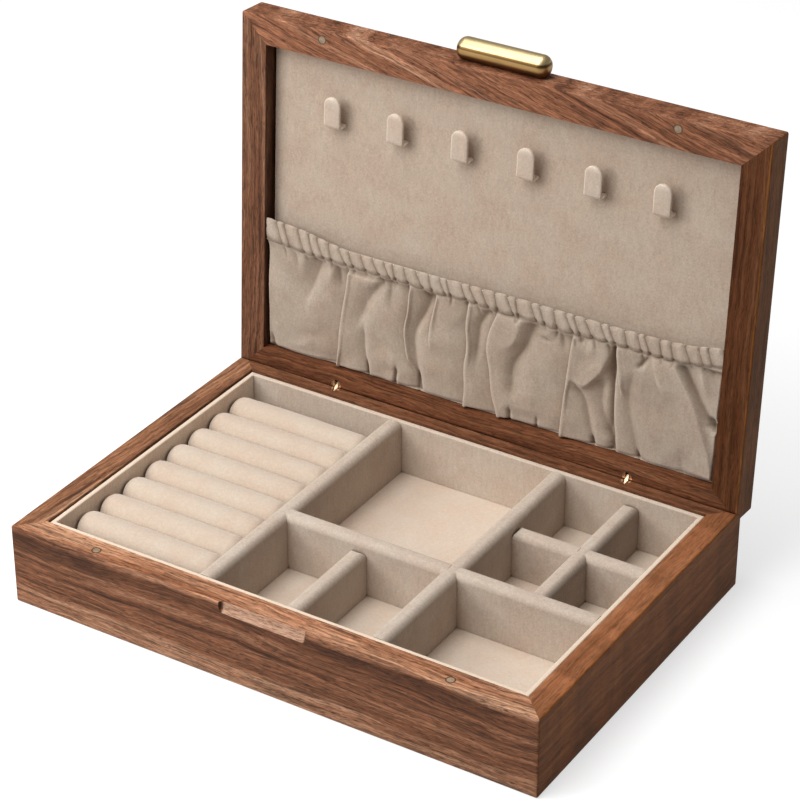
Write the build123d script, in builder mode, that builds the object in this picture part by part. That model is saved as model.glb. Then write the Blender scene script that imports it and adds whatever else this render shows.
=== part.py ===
from build123d import *
import math
import os

# Wooden jewelry box, stored open as it is shown. Millimetres.
# The origin is the centre of the underside: +X runs right along the long front,
# +Y runs to the hinges, +Z is up.

# Overall sizes of the closed box
box_length = 280.0
box_depth = 190.5
base_height = 41.5
lid_height = 17.0
rim_gap = 0.1
open_angle = 93.2

# Wooden frames
base_rail = 12.0
lid_rail = 14.2
corner_round = 1.0
edge_round = 0.8
lid_top_round = 1.8
rebate_lap = 6.0
bottom_panel_thickness = 6.0
lid_panel_thickness = 5.0
panel_clearance = 0.2

# Barrel hinges let into the back rails
bevel_width = 4.7
hinge_spacing = 164.0
pin_depth = 2.5
pin_diameter = 1.0
pin_length = 4.6
barrel_diameter = 5.4
barrel_length = 11.0
barrel_clearance = 0.05
link_width = 2.2
link_thickness = 1.6
link_side_clearance = 0.15
link_end_clearance = 0.4
pin_clearance = 0.04
pin_seat_clearance = 0.02

# Magnets that hold the lid shut
magnet_spacing = 188.0
magnet_setback = 4.7
magnet_diameter = 4.6
magnet_thickness = 3.0
magnet_clearance = 0.05

# Handle on the lid and the finger scoop below it
handle_length = 48.0
handle_diameter = 10.9
handle_end_round = 4.2
handle_end_steps = 2
handle_height = 8.5
handle_flat = 0.2
screw_spacing = 26.0
screw_diameter = 2.9
screw_clearance = 0.15
screw_bite = 4.2
screw_head_diameter = 5.5
screw_head_height = 2.4
head_clearance = 0.15
head_sink = 3.0
thread_clearance = 0.05
socket_across_flats = 2.5
socket_depth = 1.3
scoop_length = 46.6
scoop_depth = 5.5
scoop_reach = 2.0
scoop_radius = 6.5
scoop_end_round = 2.5

# Tray that is lined with suede
tray_clearance = 0.6
tray_wall = 2.5
tray_drop = 0.8
tray_wall_round = 0.7
tray_board_thickness = 3.0
floor_lining_thickness = 3.0
divider_thickness = 8.6
divider_round = 3.4
divider_cope = 2.2
low_divider_drop = 4.6
ring_divider_x = -41.3
right_divider_x = 50.7
cross_divider_y = -15.9
front_divider_x = 2.4
small_cell_length = 30.4
small_cross_y = 33.4

# Ring cushions in the left bay
roll_count = 8
roll_pitch = 17.7
roll_gap = 0.4
roll_rise = 25.6
roll_side_gap = 0.5
roll_crown = 0.4
roll_foot_inset = 0.8
roll_end_round = 5.5
roll_chords = 8
roll_end_chords = 3

# Lining board in the lid, its hooks and the elastic pocket
lining_depth = 7.4
lining_clearance = 1.0
hook_count = 6
hook_end_gap = 37.3
hook_top_y = -62.2
hook_width = 9.0
hook_height = 16.2
hook_thickness = 1.8
hook_standoff = 4.7
hook_edge_round = 0.5
pocket_top_y = 13.2
casing_height = 10.0
casing_thickness = 2.2
pocket_rim_depth = 0.4
pocket_cloth = 0.8
pocket_side_gap = 0.3
pocket_fold_rise = 1.4
pocket_foot_rise = 1.1
elastic_width = 6.0
elastic_thickness = 0.5
elastic_end_gap = 1.5
elastic_clearance = 0.1
ruffle_count = 40
ruffle_rise = 0.6
ruffle_chords = 3

# Where the pocket's main folds lie, as shares of its width: valleys and crests in turn
fold_shares_top = (
    0.0, 0.086, 0.177, 0.193, 0.261, 0.329, 0.353, 0.390, 0.452, 0.466, 0.502,
    0.518, 0.671, 0.689, 0.727, 0.755, 0.773, 0.791, 0.859, 0.904, 1.0,
)
fold_shares_foot = (
    0.0, 0.070, 0.153, 0.167, 0.253, 0.325, 0.349, 0.375, 0.448, 0.463, 0.528,
    0.545, 0.659, 0.676, 0.731, 0.767, 0.789, 0.807, 0.898, 0.978, 1.0,
)

# Values that follow from the sizes above
fold_angle = open_angle / 2
fold = math.radians(fold_angle)
swing = math.radians(open_angle)
half_length = box_length / 2
half_depth = box_depth / 2
bevel_drop = bevel_width * math.tan(fold)
bevel_y = half_depth - bevel_width
pin_y = bevel_y - pin_depth * math.tan(fold / 2)
lower_pin_z = base_height - pin_depth
link_length = 2 * pin_depth + rim_gap
hinge_x = hinge_spacing / 2

base_opening_length = box_length - 2 * base_rail
base_opening_depth = box_depth - 2 * base_rail
lid_opening_length = box_length - 2 * lid_rail
lid_opening_depth = box_depth - 2 * lid_rail

# The lid's own plane: local XY is its rim, local Z goes into the lid, and local Y is
# still measured from the middle of the box towards the hinges.
upper_pin_y = pin_y + link_length * math.sin(fold)
upper_pin_z = lower_pin_z + link_length * math.cos(fold)
lid_origin_y = upper_pin_y - pin_y * math.cos(swing) - pin_depth * math.sin(swing)
lid_origin_z = upper_pin_z + pin_y * math.sin(swing) - pin_depth * math.cos(swing)
lid_rim = Plane(
    origin=(0, lid_origin_y, lid_origin_z),
    x_dir=(1, 0, 0),
    z_dir=(0, math.sin(swing), math.cos(swing)),
)
lid_side = Plane(origin=lid_rim.origin, x_dir=lid_rim.y_dir, z_dir=(1, 0, 0))

os.makedirs("parts", exist_ok=True)


def save(builder, name):
    """Labels a finished piece and writes it under its own name."""
    builder.part.label = name
    export_step(builder.part, f"parts/{name}.step")


def mitred(plane, length, depth, rail, side):
    """Plan of one rail of a mitred frame, with 45 degree ends at the corners."""
    outer_x = length / 2
    outer_y = depth / 2
    inner_x = outer_x - rail
    inner_y = outer_y - rail
    corners = {
        "front": ((-outer_x, -outer_y), (outer_x, -outer_y), (inner_x, -inner_y), (-inner_x, -inner_y)),
        "back": ((-outer_x, outer_y), (outer_x, outer_y), (inner_x, inner_y), (-inner_x, inner_y)),
        "left": ((-outer_x, -outer_y), (-outer_x, outer_y), (-inner_x, inner_y), (-inner_x, -inner_y)),
        "right": ((outer_x, -outer_y), (outer_x, outer_y), (inner_x, inner_y), (inner_x, -inner_y)),
    }
    with BuildSketch(plane) as outline:
        with BuildLine():
            Polyline(*corners[side], close=True)
        make_face()
    return outline.sketch


def back_bevel(plane, drop_sign):
    """Wedge that bevels the back edge at half the opening angle, with a round about the
    hinge pin, so that the rims keep their gap as they roll. The plane's X runs to the
    back and its Y up; the wedge lies below the rim for +1 and above it for -1."""
    roll_off = [
        (pin_y + pin_depth * math.sin(turn), -drop_sign * pin_depth * (1 - math.cos(turn)))
        for turn in (0, fold / 2, fold)
    ]
    with BuildSketch(plane.offset(-half_length)) as wedge:
        with BuildLine():
            ThreePointArc(*roll_off)
            Polyline(
                roll_off[-1],
                (bevel_y + 2 * bevel_width, -2 * drop_sign * bevel_drop),
                (bevel_y + 2 * bevel_width, drop_sign * bevel_drop),
                (pin_y, drop_sign * bevel_drop),
                roll_off[0],
            )
        make_face()
    return extrude(wedge.sketch, amount=box_length, mode=Mode.PRIVATE)


base_side = Plane(origin=(0, 0, base_height), x_dir=(0, 1, 0), z_dir=(1, 0, 0))
base_wedge = back_bevel(base_side, 1)
lid_wedge = back_bevel(lid_side, -1)

# Base frame, from which the four mitred rails are cut
with BuildPart() as base_frame:
    with BuildSketch():
        Rectangle(box_length, box_depth)
        Rectangle(base_opening_length, base_opening_depth, mode=Mode.SUBTRACT)
    extrude(amount=base_height)
    corners = base_frame.edges().filter_by(Axis.Z).group_by(
        lambda edge: round(abs(edge.center().X) + abs(edge.center().Y), 1)
    )[-1]
    fillet(corners, radius=corner_round)
    rims = base_frame.faces().sort_by(Axis.Z)[-1].outer_wire().edges()
    fillet(rims, radius=edge_round)
    feet = base_frame.faces().sort_by(Axis.Z)[0].outer_wire().edges()
    fillet(feet, radius=edge_round)
    with BuildSketch():
        Rectangle(base_opening_length + 2 * rebate_lap, base_opening_depth + 2 * rebate_lap)
    extrude(amount=bottom_panel_thickness, mode=Mode.SUBTRACT)
    add(base_wedge, mode=Mode.SUBTRACT)

# Front rail of the base, with the finger scoop and the pockets for two magnets
rise_from_foot = math.hypot(scoop_reach, scoop_depth) / 2
scoop_offset = math.sqrt(scoop_radius**2 - rise_from_foot**2)
scoop_lean = math.atan2(scoop_reach, scoop_depth)
scoop_y = -half_depth + scoop_reach / 2 - scoop_offset * math.cos(scoop_lean)
scoop_z = base_height - scoop_depth / 2 + scoop_offset * math.sin(scoop_lean)
magnet_y = -half_depth + magnet_setback

scoop_end = scoop_length / 2
scoop_flank = scoop_end - scoop_end_round
scoop_cap = scoop_radius - scoop_end_round
scoop_axis = Axis((0, scoop_y, scoop_z), (1, 0, 0))
with BuildPart() as scoop_cutter:
    with BuildSketch(Plane(origin=scoop_axis.position, x_dir=(1, 0, 0), z_dir=(0, 0, -1))):
        with BuildLine():
            Polyline((-scoop_end, scoop_cap), (-scoop_end, 0), (scoop_end, 0), (scoop_end, scoop_cap))
            RadiusArc((scoop_end, scoop_cap), (scoop_flank, scoop_radius), -scoop_end_round)
            Line((scoop_flank, scoop_radius), (-scoop_flank, scoop_radius))
            RadiusArc((-scoop_flank, scoop_radius), (-scoop_end, scoop_cap), -scoop_end_round)
        make_face()
    revolve(axis=scoop_axis)

with BuildPart() as base_front_rail:
    extrude(mitred(Plane.XY, box_length, box_depth, base_rail, "front"), amount=base_height)
    add(base_frame.part, mode=Mode.INTERSECT)
    add(scoop_cutter.part, mode=Mode.SUBTRACT)
    with Locations((0, magnet_y, base_height)):
        with GridLocations(magnet_spacing, 0, 2, 1):
            Hole(radius=magnet_diameter / 2 + magnet_clearance, depth=magnet_thickness)
save(base_front_rail, "base_front_rail")

# Back rail of the base, bevelled along its back edge and bored for two barrels
with BuildPart() as base_back_rail:
    extrude(mitred(Plane.XY, box_length, box_depth, base_rail, "back"), amount=base_height)
    add(base_frame.part, mode=Mode.INTERSECT)
    with Locations((0, pin_y, base_height)):
        with GridLocations(hinge_spacing, 0, 2, 1):
            Hole(radius=barrel_diameter / 2 + barrel_clearance, depth=barrel_length)
save(base_back_rail, "base_back_rail")

for side in ("left", "right"):
    with BuildPart() as base_end_rail:
        extrude(mitred(Plane.XY, box_length, box_depth, base_rail, side), amount=base_height)
        add(base_frame.part, mode=Mode.INTERSECT)
    save(base_end_rail, f"base_{side}_rail")

# Bottom panel in the rebate, flush with the underside
bottom_panel_length = base_opening_length + 2 * rebate_lap - 2 * panel_clearance
bottom_panel_depth = base_opening_depth + 2 * rebate_lap - 2 * panel_clearance
with BuildPart() as base_bottom_panel:
    with BuildSketch():
        Rectangle(bottom_panel_length, bottom_panel_depth)
    extrude(amount=bottom_panel_thickness)
save(base_bottom_panel, "base_bottom_panel")

with BuildPart() as base_magnets:
    with BuildSketch(Plane.XY.offset(base_height - magnet_thickness)):
        with Locations((0, magnet_y)):
            with GridLocations(magnet_spacing, 0, 2, 1):
                Circle(magnet_diameter / 2)
    extrude(amount=magnet_thickness)
save(base_magnets, "base_magnets")

# Tray: a floor board, a padded floor lining, four thin walls and eight dividers
tray_length = base_opening_length - 2 * tray_clearance
tray_depth = base_opening_depth - 2 * tray_clearance
tray_top = base_height - tray_drop
tray_board_top = bottom_panel_thickness + tray_board_thickness
floor_top = tray_board_top + floor_lining_thickness
bay_length = tray_length - 2 * tray_wall
bay_depth = tray_depth - 2 * tray_wall
low_top = tray_top - low_divider_drop

with BuildPart() as tray_floor_board:
    with BuildSketch(Plane.XY.offset(bottom_panel_thickness)):
        Rectangle(tray_length, tray_depth)
    extrude(amount=tray_board_thickness)
save(tray_floor_board, "tray_floor_board")

with BuildPart() as tray_floor_lining:
    with BuildSketch(Plane.XY.offset(tray_board_top)):
        Rectangle(bay_length, bay_depth)
    extrude(amount=floor_lining_thickness)
save(tray_floor_lining, "tray_floor_lining")

wall_height = tray_top - tray_board_top
for side in ("front", "back", "left", "right"):
    with BuildPart() as tray_side_wall:
        extrude(
            mitred(Plane.XY.offset(tray_board_top), tray_length, tray_depth, tray_wall, side),
            amount=wall_height,
        )
        run = Axis.X if side in ("front", "back") else Axis.Y
        fillet(tray_side_wall.edges().filter_by(run).group_by(Axis.Z)[-1], radius=tray_wall_round)
    save(tray_side_wall, f"tray_{side}_wall")


def divider(along_y, top, from_x, to_x, from_y, to_y, nose=0):
    """A padded divider that stands on the floor lining, with its long top edges rounded.
    It runs along Y where along_y is true, and otherwise along X. A nose of 1 rounds the top
    of its far end too, and a nose of -1 that of its near end."""
    with BuildPart() as padded:
        with BuildSketch(Plane.XY.offset(floor_top)):
            with Locations(((from_x + to_x) / 2, (from_y + to_y) / 2)):
                Rectangle(to_x - from_x, to_y - from_y)
        extrude(amount=top - floor_top)
        run = Axis.Y if along_y else Axis.X
        top_edges = padded.faces().sort_by(Axis.Z)[-1].edges().sort_by(run)
        rounded = top_edges.filter_by(run)
        if nose:
            rounded.append(top_edges[-1 if nose > 0 else 0])
        fillet(rounded, radius=divider_round)
    return padded.part


half_divider = divider_thickness / 2
bay_x = bay_length / 2
bay_y = bay_depth / 2
small_divider_x = bay_x - small_cell_length - half_divider
ring_divider = divider(
    True, tray_top, ring_divider_x - half_divider, ring_divider_x + half_divider, -bay_y, bay_y
)
right_divider = divider(
    True, tray_top, right_divider_x - half_divider, right_divider_x + half_divider, -bay_y, bay_y
)
cross_back_y = cross_divider_y + half_divider
cross_front_y = cross_divider_y - half_divider
small_divider = divider(
    True, low_top, small_divider_x - half_divider, small_divider_x + half_divider,
    cross_back_y, bay_y, nose=1,
)

with BuildPart() as ring_bay_divider:
    add(ring_divider)
save(ring_bay_divider, "ring_bay_divider")

with BuildPart() as right_bay_divider:
    add(right_divider)
save(right_bay_divider, "right_bay_divider")

# The cross dividers are coped over the rounded tops of the dividers that they meet
reach = half_divider - divider_cope
with BuildPart() as middle_cross_divider:
    add(divider(
        False, tray_top, ring_divider_x + reach, right_divider_x - reach, cross_front_y, cross_back_y
    ))
    add(ring_divider, mode=Mode.SUBTRACT)
    add(right_divider, mode=Mode.SUBTRACT)
save(middle_cross_divider, "middle_cross_divider")

with BuildPart() as right_cross_divider:
    add(divider(False, tray_top, right_divider_x + reach, bay_x, cross_front_y, cross_back_y))
    add(right_divider, mode=Mode.SUBTRACT)
save(right_cross_divider, "right_cross_divider")

with BuildPart() as front_cell_divider:
    add(divider(
        True, low_top, front_divider_x - half_divider, front_divider_x + half_divider,
        -bay_y, cross_front_y, nose=1,
    ))
save(front_cell_divider, "front_cell_divider")

with BuildPart() as small_cell_divider:
    add(small_divider)
save(small_cell_divider, "small_cell_divider")

small_front_y = small_cross_y - half_divider
small_back_y = small_cross_y + half_divider
with BuildPart() as small_cross_left:
    add(divider(
        False, low_top, right_divider_x + half_divider, small_divider_x - reach,
        small_front_y, small_back_y, nose=-1,
    ))
    add(small_divider, mode=Mode.SUBTRACT)
save(small_cross_left, "small_cross_left")

with BuildPart() as small_cross_right:
    add(divider(
        False, low_top, small_divider_x + reach, bay_x, small_front_y, small_back_y, nose=1,
    ))
    add(small_divider, mode=Mode.SUBTRACT)
save(small_cross_right, "small_cross_right")

# Ring cushions: padded rolls with a crowned back, domed ends and drawn-in feet. Their
# rounds are made of short chords.
roll_start = -bay_x + roll_side_gap
roll_end = ring_divider_x - half_divider - roll_side_gap
roll_middle = (roll_start + roll_end) / 2
roll_width = roll_pitch - roll_gap
roll_top = floor_top + roll_rise
roll_axis_z = roll_top - roll_width / 2


def roll_section(x, inset):
    """Cross-section of a ring cushion: drawn-in sides under a rounded top. The inset
    brings its sides and its top towards its axis."""
    half = roll_width / 2 - inset
    foot = half - roll_foot_inset
    turns = [math.pi * step / roll_chords for step in range(roll_chords + 1)]
    with BuildSketch(Plane.YZ.offset(x)) as section:
        with BuildLine():
            Polyline(
                (-foot, floor_top),
                (foot, floor_top),
                *((half * math.cos(turn), roll_axis_z + half * math.sin(turn)) for turn in turns),
                close=True,
            )
        make_face()
    return section.sketch


# The dome of an end, from the face inwards: how far along and how far drawn in
roll_dome = []
for step in range(roll_end_chords + 1):
    turn = math.pi / 2 * step / roll_end_chords
    roll_dome.append((roll_end_round * (1 - math.cos(turn)), roll_end_round * (1 - math.sin(turn))))

with BuildPart() as ring_cushion:
    loft(
        [
            roll_section(roll_start, roll_crown),
            roll_section(roll_middle, 0),
            roll_section(roll_end, roll_crown),
        ],
        ruled=True,
    )
    with BuildSketch(Plane.XZ.offset(-roll_width / 2)):
        with BuildLine():
            Polyline(
                (roll_end, floor_top),
                *((roll_end - along, roll_top - inset) for along, inset in roll_dome),
                *((roll_start + along, roll_top - inset) for along, inset in reversed(roll_dome)),
                (roll_start, floor_top),
                close=True,
            )
        make_face()
    extrude(amount=roll_width, mode=Mode.INTERSECT)
    with BuildSketch(Plane.XY.offset(floor_top)):
        with BuildLine():
            Polyline(
                *((roll_end - along, roll_width / 2 - inset) for along, inset in roll_dome),
                *((roll_start + along, roll_width / 2 - inset) for along, inset in reversed(roll_dome)),
                *((roll_start + along, inset - roll_width / 2) for along, inset in roll_dome),
                *((roll_end - along, inset - roll_width / 2) for along, inset in reversed(roll_dome)),
                close=True,
            )
        make_face()
    extrude(amount=roll_rise, mode=Mode.INTERSECT)

for index in range(roll_count):
    with BuildPart() as ring_roll:
        with Locations((0, ((roll_count - 1) / 2 - index) * roll_pitch)):
            add(ring_cushion.part)
    save(ring_roll, f"ring_roll_{index + 1}")

# Barrels, pins and links of the two hinges
slot_width = link_thickness + 2 * link_side_clearance
slot_depth = pin_depth + link_width / 2 + link_end_clearance
barrel_radius = barrel_diameter / 2


def hinge_barrels(plane, side_plane, wedge, into):
    """Two barrels let into a rail: slotted from the rim for the links, cross bored for
    the pins and cut along the bevel. The plane is the rim and into is the way in."""
    with BuildPart() as barrels:
        with BuildSketch(plane):
            with Locations((0, pin_y)):
                with GridLocations(hinge_spacing, 0, 2, 1):
                    Circle(barrel_radius)
        extrude(amount=into * barrel_length)
        with BuildSketch(plane):
            with Locations((0, pin_y)):
                with GridLocations(hinge_spacing, 0, 2, 1):
                    Rectangle(slot_width, barrel_diameter)
        extrude(amount=into * slot_depth, mode=Mode.SUBTRACT)
        with BuildSketch(side_plane.offset(-half_length)):
            with Locations((pin_y, into * pin_depth)):
                Circle(pin_diameter / 2 + pin_seat_clearance)
        extrude(amount=box_length, mode=Mode.SUBTRACT)
        add(wedge, mode=Mode.SUBTRACT)
    return barrels.part


def hinge_pins(side_plane, into):
    """The two cross pins on one hinge axis."""
    with BuildPart() as pins:
        for x in (-hinge_x, hinge_x):
            with BuildSketch(side_plane.offset(x - pin_length / 2)):
                with Locations((pin_y, into * pin_depth)):
                    Circle(pin_diameter / 2)
            extrude(amount=pin_length)
    return pins.part


base_rim = Plane.XY.offset(base_height)
with BuildPart() as lower_hinge_barrels:
    add(hinge_barrels(base_rim, base_side, base_wedge, -1))
save(lower_hinge_barrels, "lower_hinge_barrels")

with BuildPart() as upper_hinge_barrels:
    add(hinge_barrels(lid_rim, lid_side, lid_wedge, 1))
save(upper_hinge_barrels, "upper_hinge_barrels")

with BuildPart() as lower_hinge_pins:
    add(hinge_pins(base_side, -1))
save(lower_hinge_pins, "lower_hinge_pins")

with BuildPart() as upper_hinge_pins:
    add(hinge_pins(lid_side, 1))
save(upper_hinge_pins, "upper_hinge_pins")

link_middle_y = (pin_y + upper_pin_y) / 2
link_middle_z = (lower_pin_z + upper_pin_z) / 2
with BuildPart() as hinge_links:
    for x in (-hinge_x, hinge_x):
        link_plane = Plane(
            origin=(x - link_thickness / 2, link_middle_y, link_middle_z),
            x_dir=(0, math.sin(fold), math.cos(fold)),
            z_dir=(1, 0, 0),
        )
        with BuildSketch(link_plane):
            SlotCenterToCenter(link_length, link_width)
            with Locations((-link_length / 2, 0), (link_length / 2, 0)):
                Circle(pin_diameter / 2 + pin_clearance, mode=Mode.SUBTRACT)
        extrude(amount=link_thickness)
save(hinge_links, "hinge_links")

# Lid frame, from which the four mitred rails are cut
lid_up = Axis(lid_rim.origin, lid_rim.z_dir)
with BuildPart() as lid_frame:
    with BuildSketch(lid_rim):
        Rectangle(box_length, box_depth)
        Rectangle(lid_opening_length, lid_opening_depth, mode=Mode.SUBTRACT)
    extrude(amount=lid_height)
    lid_corners = lid_frame.edges().filter_by(lid_up).group_by(
        lambda edge: round((edge.center() - lid_rim.origin).cross(lid_rim.z_dir).length, 1)
    )[-1]
    fillet(lid_corners, radius=corner_round)
    fillet(lid_frame.faces().sort_by(lid_up)[-1].outer_wire().edges(), radius=lid_top_round)
    fillet(lid_frame.faces().sort_by(lid_up)[0].outer_wire().edges(), radius=edge_round)
    with BuildSketch(lid_rim.offset(lid_height)):
        Rectangle(lid_opening_length + 2 * rebate_lap, lid_opening_depth + 2 * rebate_lap)
    extrude(amount=-lid_panel_thickness, mode=Mode.SUBTRACT)
    add(lid_wedge, mode=Mode.SUBTRACT)

handle_radius = handle_diameter / 2
handle_y = -half_depth - handle_radius + handle_flat
lid_front = Plane(origin=lid_rim.origin, x_dir=(1, 0, 0), z_dir=-lid_rim.y_dir)
rail_inner = lid_front.offset(half_depth - lid_rail)
head_seat = lid_front.offset(half_depth - lid_rail + head_sink)

with BuildPart() as lid_front_rail:
    extrude(mitred(lid_rim, box_length, box_depth, lid_rail, "front"), amount=lid_height)
    add(lid_frame.part, mode=Mode.INTERSECT)
    with BuildSketch(lid_rim):
        with Locations((0, magnet_y)):
            with GridLocations(magnet_spacing, 0, 2, 1):
                Circle(magnet_diameter / 2 + magnet_clearance)
    extrude(amount=magnet_thickness, mode=Mode.SUBTRACT)
    with BuildSketch(rail_inner):
        with Locations((0, handle_height)):
            with GridLocations(screw_spacing, 0, 2, 1):
                Circle(screw_diameter / 2 + screw_clearance)
    extrude(amount=lid_rail, mode=Mode.SUBTRACT)
    with BuildSketch(rail_inner):
        with Locations((0, handle_height)):
            with GridLocations(screw_spacing, 0, 2, 1):
                Circle(screw_head_diameter / 2 + head_clearance)
    extrude(amount=head_sink, mode=Mode.SUBTRACT)
save(lid_front_rail, "lid_front_rail")

with BuildPart() as lid_back_rail:
    extrude(mitred(lid_rim, box_length, box_depth, lid_rail, "back"), amount=lid_height)
    add(lid_frame.part, mode=Mode.INTERSECT)
    with BuildSketch(lid_rim):
        with Locations((0, pin_y)):
            with GridLocations(hinge_spacing, 0, 2, 1):
                Circle(barrel_radius + barrel_clearance)
    extrude(amount=barrel_length, mode=Mode.SUBTRACT)
save(lid_back_rail, "lid_back_rail")

for side in ("left", "right"):
    with BuildPart() as lid_end_rail:
        extrude(mitred(lid_rim, box_length, box_depth, lid_rail, side), amount=lid_height)
        add(lid_frame.part, mode=Mode.INTERSECT)
    save(lid_end_rail, f"lid_{side}_rail")

lid_panel_length = lid_opening_length + 2 * rebate_lap - 2 * panel_clearance
lid_panel_depth = lid_opening_depth + 2 * rebate_lap - 2 * panel_clearance
with BuildPart() as lid_top_panel:
    with BuildSketch(lid_rim.offset(lid_height - lid_panel_thickness)):
        Rectangle(lid_panel_length, lid_panel_depth)
    extrude(amount=lid_panel_thickness)
save(lid_top_panel, "lid_top_panel")

with BuildPart() as lid_magnets:
    with BuildSketch(lid_rim):
        with Locations((0, magnet_y)):
            with GridLocations(magnet_spacing, 0, 2, 1):
                Circle(magnet_diameter / 2)
    extrude(amount=magnet_thickness)
save(lid_magnets, "lid_magnets")

# Padded lining board that closes the lid's recess
with BuildPart() as lid_lining_board:
    with BuildSketch(lid_rim.offset(lining_depth)):
        Rectangle(
            lid_opening_length - 2 * lining_clearance,
            lid_opening_depth - 2 * lining_clearance,
        )
    extrude(amount=lid_height - lid_panel_thickness - lining_depth)
save(lid_lining_board, "lid_lining_board")

# Handle: a turned bar with domed ends, flat where it seats on the lid's front rail
handle_turns = [math.pi / 2 * step / handle_end_steps for step in range(handle_end_steps + 1)]
handle_dome = [
    (
        handle_length / 2 - handle_end_round * (1 - math.sin(turn)),
        handle_radius - handle_end_round * (1 - math.cos(turn)),
    )
    for turn in handle_turns
]
handle_profile = Plane(
    origin=lid_front.offset(-handle_y).from_local_coords((0, handle_height, 0)),
    x_dir=(1, 0, 0),
    z_dir=lid_front.z_dir,
)
with BuildPart() as handle_bar:
    with BuildSketch(handle_profile):
        with BuildLine():
            Polyline(
                (-handle_length / 2, 0),
                *((-x, radius) for x, radius in reversed(handle_dome)),
                *handle_dome,
                (handle_length / 2, 0),
                close=True,
            )
        make_face()
    revolve(axis=Axis(handle_profile.origin, handle_profile.x_dir))
    with BuildSketch(lid_front.offset(half_depth)):
        with Locations((0, handle_height)):
            Rectangle(handle_length, handle_diameter)
    extrude(amount=-handle_diameter, mode=Mode.SUBTRACT)
    with BuildSketch(lid_front.offset(half_depth)):
        with Locations((0, handle_height)):
            with GridLocations(screw_spacing, 0, 2, 1):
                Circle(screw_diameter / 2 + thread_clearance)
    extrude(amount=screw_bite + thread_clearance, mode=Mode.SUBTRACT)
save(handle_bar, "handle_bar")

with BuildPart() as handle_screws:
    with BuildSketch(head_seat):
        with Locations((0, handle_height)):
            with GridLocations(screw_spacing, 0, 2, 1):
                Circle(screw_diameter / 2)
    extrude(amount=lid_rail - head_sink + screw_bite)
    with BuildSketch(head_seat):
        with Locations((0, handle_height)):
            with GridLocations(screw_spacing, 0, 2, 1):
                Circle(screw_head_diameter / 2)
    extrude(amount=-screw_head_height)
    with BuildSketch(head_seat.offset(-screw_head_height)):
        with Locations((0, handle_height)):
            with GridLocations(screw_spacing, 0, 2, 1):
                RegularPolygon(socket_across_flats / 2, 6, major_radius=False)
    extrude(amount=socket_depth, mode=Mode.SUBTRACT)
save(handle_screws, "handle_screws")

# Hooks: a round-topped front plate on a tab that comes forward out of the lining board
hook_pitch = (lid_opening_length - 2 * hook_end_gap) / (hook_count - 1)
hook_back = lining_depth - hook_standoff
hook_front = hook_back - hook_thickness
hook_foot_y = hook_top_y + hook_height
hook_radius = hook_width / 2
for index in range(hook_count):
    hook_x = (index - (hook_count - 1) / 2) * hook_pitch
    with BuildPart() as hook:
        with BuildSketch(lid_rim.offset(hook_front)):
            with Locations((hook_x, hook_top_y + hook_radius)):
                Circle(hook_radius)
            with Locations((hook_x, (hook_top_y + hook_radius + hook_foot_y) / 2)):
                Rectangle(hook_width, hook_height - hook_radius)
        extrude(amount=hook_thickness)
        chamfer(hook.faces().sort_by(lid_up)[0].edges(), length=hook_edge_round)
        with BuildSketch(lid_rim.offset(hook_back)):
            with Locations((hook_x, hook_foot_y - hook_thickness / 2)):
                Rectangle(hook_width, hook_thickness)
        extrude(amount=hook_standoff)
    save(hook, f"hook_{index + 1}")

# Elastic pocket: a ruffled casing over a gathered cloth front with its main folds. The
# cloth turns back to the lining board at both sides and at the foot.
pocket_half = lid_opening_length / 2 - pocket_side_gap
pocket_foot_y = lid_opening_depth / 2 - pocket_side_gap
casing_foot_y = pocket_top_y + casing_height
pocket_back = pocket_rim_depth + pocket_fold_rise + pocket_cloth
elastic_front = pocket_back - (casing_thickness - ruffle_rise) / 2 - elastic_thickness / 2
elastic_y = (pocket_top_y + casing_foot_y) / 2


def cloth_section(y, shares, rise):
    """Section of the gathered cloth across the pocket: folds with crests and valleys in
    turn, one cloth thick."""
    front = []
    back = []
    for index, share in enumerate(shares):
        x = (2 * share - 1) * pocket_half
        depth = pocket_back - rise * (index % 2)
        back.append((x, depth))
        front.append((x, depth - pocket_cloth))
    with BuildSketch(lid_front.offset(-y)) as section:
        with BuildLine():
            Polyline(*front, *reversed(back), close=True)
        make_face()
    return section.sketch


# The front of the casing: a row of ruffles, each of a few chords
casing_valley = pocket_back - casing_thickness + ruffle_rise
ruffle_steps = ruffle_count * ruffle_chords
ruffle_bulge = ruffle_rise / math.sin(math.pi * (ruffle_chords // 2) / ruffle_chords)
casing_front = [
    (
        (2 * step / ruffle_steps - 1) * pocket_half,
        casing_valley - ruffle_bulge * abs(math.sin(math.pi * step / ruffle_chords)),
    )
    for step in range(ruffle_steps + 1)
]
with BuildPart() as elastic_pocket:
    loft(
        [
            cloth_section(casing_foot_y, fold_shares_top, pocket_fold_rise),
            cloth_section(pocket_foot_y, fold_shares_foot, pocket_foot_rise),
        ],
        ruled=True,
    )
    with BuildSketch(lid_front.offset(-casing_foot_y)):
        with BuildLine():
            Polyline(
                *casing_front, (pocket_half, pocket_back), (-pocket_half, pocket_back), close=True
            )
        make_face()
    extrude(amount=casing_height)
    with BuildSketch(lid_rim.offset(pocket_back - pocket_cloth)):
        with Locations((0, (pocket_top_y + pocket_foot_y) / 2)):
            Rectangle(2 * pocket_half, pocket_foot_y - pocket_top_y)
        with Locations((0, (pocket_top_y + pocket_foot_y - pocket_cloth) / 2)):
            Rectangle(
                2 * (pocket_half - pocket_cloth),
                pocket_foot_y - pocket_top_y - pocket_cloth,
                mode=Mode.SUBTRACT,
            )
    extrude(amount=lining_depth - pocket_back + pocket_cloth)
    with BuildSketch(lid_rim.offset(elastic_front - elastic_clearance)):
        with Locations((0, elastic_y)):
            Rectangle(2 * pocket_half, elastic_width + 2 * elastic_clearance)
    extrude(amount=elastic_thickness + 2 * elastic_clearance, mode=Mode.SUBTRACT)
save(elastic_pocket, "elastic_pocket")

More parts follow.
